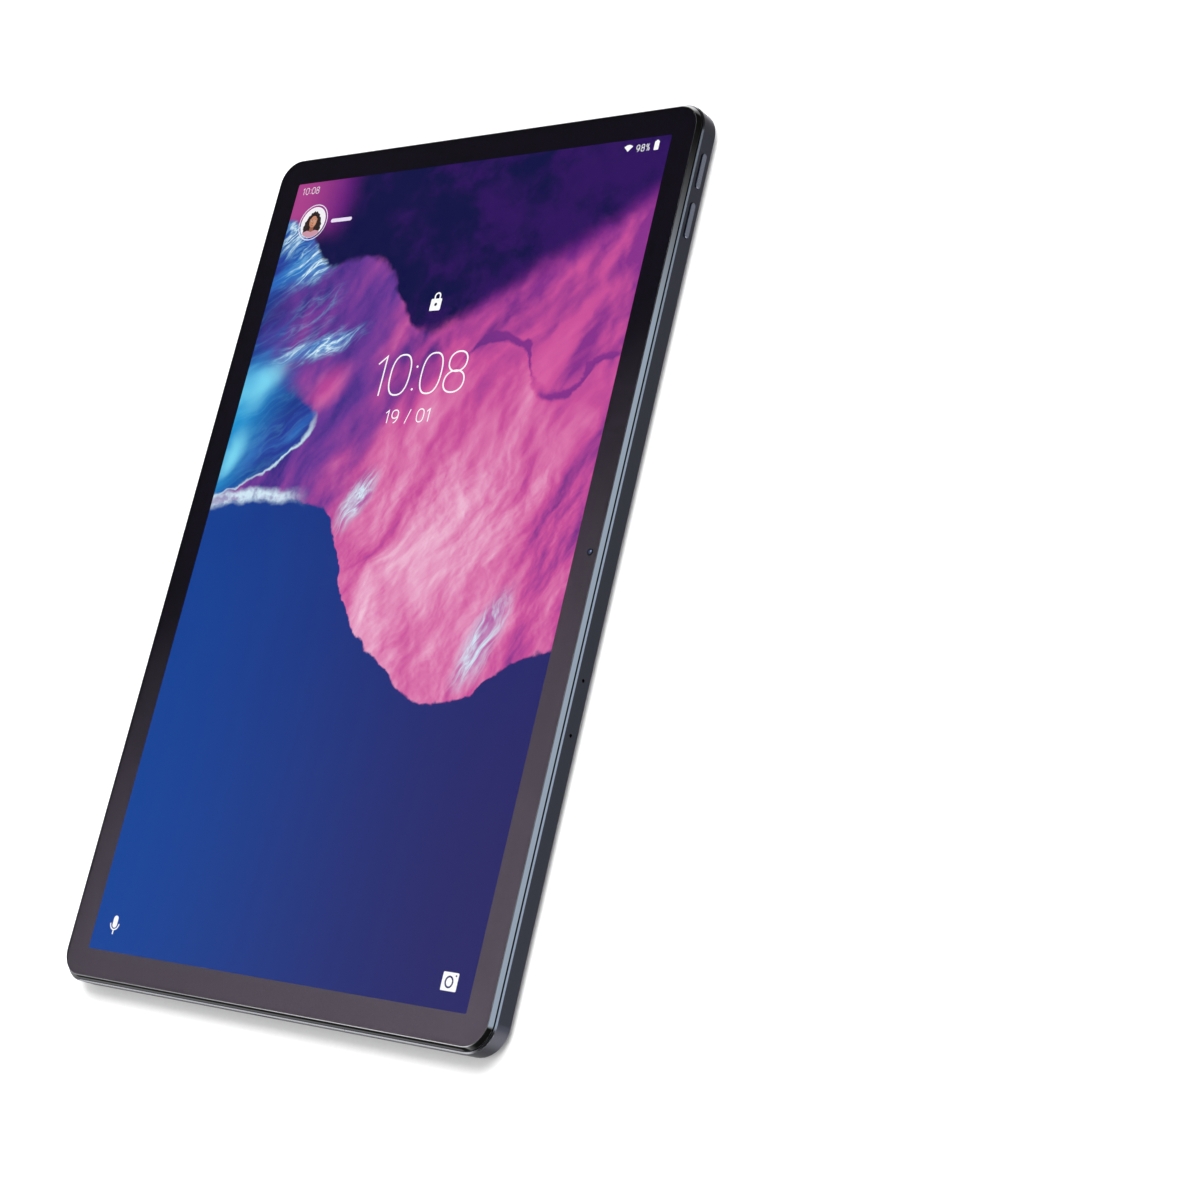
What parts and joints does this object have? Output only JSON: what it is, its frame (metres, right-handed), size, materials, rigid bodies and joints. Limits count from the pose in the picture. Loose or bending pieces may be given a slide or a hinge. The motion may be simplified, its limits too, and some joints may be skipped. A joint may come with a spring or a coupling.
{
  "type": "tablet computer",
  "caption": "Slim slate tablet computer with a flat glass front, two-tone back, round rear camera, side keys that travel and a card tray that slides out.",
  "frame": {"origin": "bottom centre of the bounding box, under the middle of the back, with the tablet lying on its back", "axes": "+Z out of the screen, +Y along the long sides to the short side with the power key, +X to the long side with the volume keys"},
  "size_m": [0.1634, 0.2588, 0.0088],
  "materials": {
    "clear_glass": "polished clear",
    "lens_glass": "polished, coated",
    "black_border": "printed black ink under the glass",
    "clear_film": "clear",
    "display": "dark polariser",
    "white_film": "white film",
    "clear_acrylic": "clear acrylic",
    "circuit_board": "solder mask",
    "stamped_steel": "stamped",
    "black_foam": "matte foam tape",
    "cast_frame": "glass-filled plastic, matte",
    "black_screws": "black oxide",
    "satin_metal": "fine blasted, satin anodised grey",
    "textured_cover": "fine grain, dark grey",
    "key_metal": "satin anodised grey",
    "ring_metal": "turned, polished edge",
    "black_plastic": "matte",
    "lens_barrel": "matte black",
    "flash_yellow": "translucent yellow",
    "battery_foil": "wrapped foil pouch",
    "graphite": "graphite sheet",
    "amber_flex": "polyimide film",
    "socket_steel": "drawn steel",
    "black_mesh": "fine woven mesh",
    "rubber": "soft",
    "gold_contact": "gold plated",
    "magnet": "nickel plated"
  },
  "bodies": {
    "tablet": {"aerial_leads": "black_plastic", "backlight_tray": "stamped_steel", "battery_board": "circuit_board", "battery_cell_lower": "battery_foil", "battery_cell_upper": "battery_foil", "battery_tapes": "black_foam", "board_connectors": "black_plastic", "board_screws": "black_screws", "border_mask": "black_border", "camera_ring": "ring_metal", "camera_window": "lens_glass", "card_reader": "socket_steel", "charging_board": "circuit_board", "cover_glass": "clear_glass", "cover_magnets": "magnet", "diffuser_sheets": "white_film", "display_flex": "amber_flex", "display_panel": "display", "display_tape": "black_foam", "dock_connector": "black_plastic", "dock_contacts": "gold_contact", "flash_led": "flash_yellow", "flash_lens": "flash_yellow", "frame_screws": "black_screws", "front_camera_module": "black_plastic", "heat_spreader": "graphite", "key_brackets": "stamped_steel", "key_flex": "amber_flex", "key_switches": "black_plastic", "led_strip": "circuit_board", "light_guide": "clear_acrylic", "light_sensor": "black_plastic", "main_aerial": "black_plastic", "main_board": "circuit_board", "main_chips": "black_plastic", "main_flex": "amber_flex", "metal_housing": "satin_metal", "microphone_flex": "amber_flex", "microphone_gaskets": "rubber", "microphones": "stamped_steel", "mid_frame": "cast_frame", "optical_adhesive": "clear_film", "rear_camera_barrel": "lens_barrel", "rear_camera_module": "black_plastic", "reflector_sheet": "white_film", "second_aerial": "black_plastic", "shield_cans": "stamped_steel", "speaker_bottom_left": "black_plastic", "speaker_bottom_right": "black_plastic", "speaker_meshes": "black_mesh", "speaker_top_left": "black_plastic", "speaker_top_right": "black_plastic", "upper_cover": "textured_cover", "usb_c_shell": "socket_steel", "usb_c_tongue": "black_plastic"},
    "power_key": {"power_key": "key_metal"},
    "volume_up_key": {"volume_up_key": "key_metal"},
    "volume_down_key": {"volume_down_key": "key_metal"},
    "card_tray": {"card_tray": "key_metal"}
  },
  "joints": [
    {"name": "power_key_press", "type": "slide", "parent": "tablet", "child": "power_key", "axis": [0, -1, 0], "range_m": [0, 0.0003], "stiffness_N_per_m": 4000, "springref_m": -0.0002},
    {"name": "volume_up_key_press", "type": "slide", "parent": "tablet", "child": "volume_up_key", "axis": [-1, 0, 0], "range_m": [0, 0.0003], "stiffness_N_per_m": 4000, "springref_m": -0.0002},
    {"name": "volume_down_key_press", "type": "slide", "parent": "tablet", "child": "volume_down_key", "axis": [-1, 0, 0], "range_m": [0, 0.0003], "stiffness_N_per_m": 4000, "springref_m": -0.0002},
    {"name": "card_tray_slide", "type": "slide", "parent": "tablet", "child": "card_tray", "axis": [-1, 0, 0], "range_m": [0, 0.018]}
  ]
}
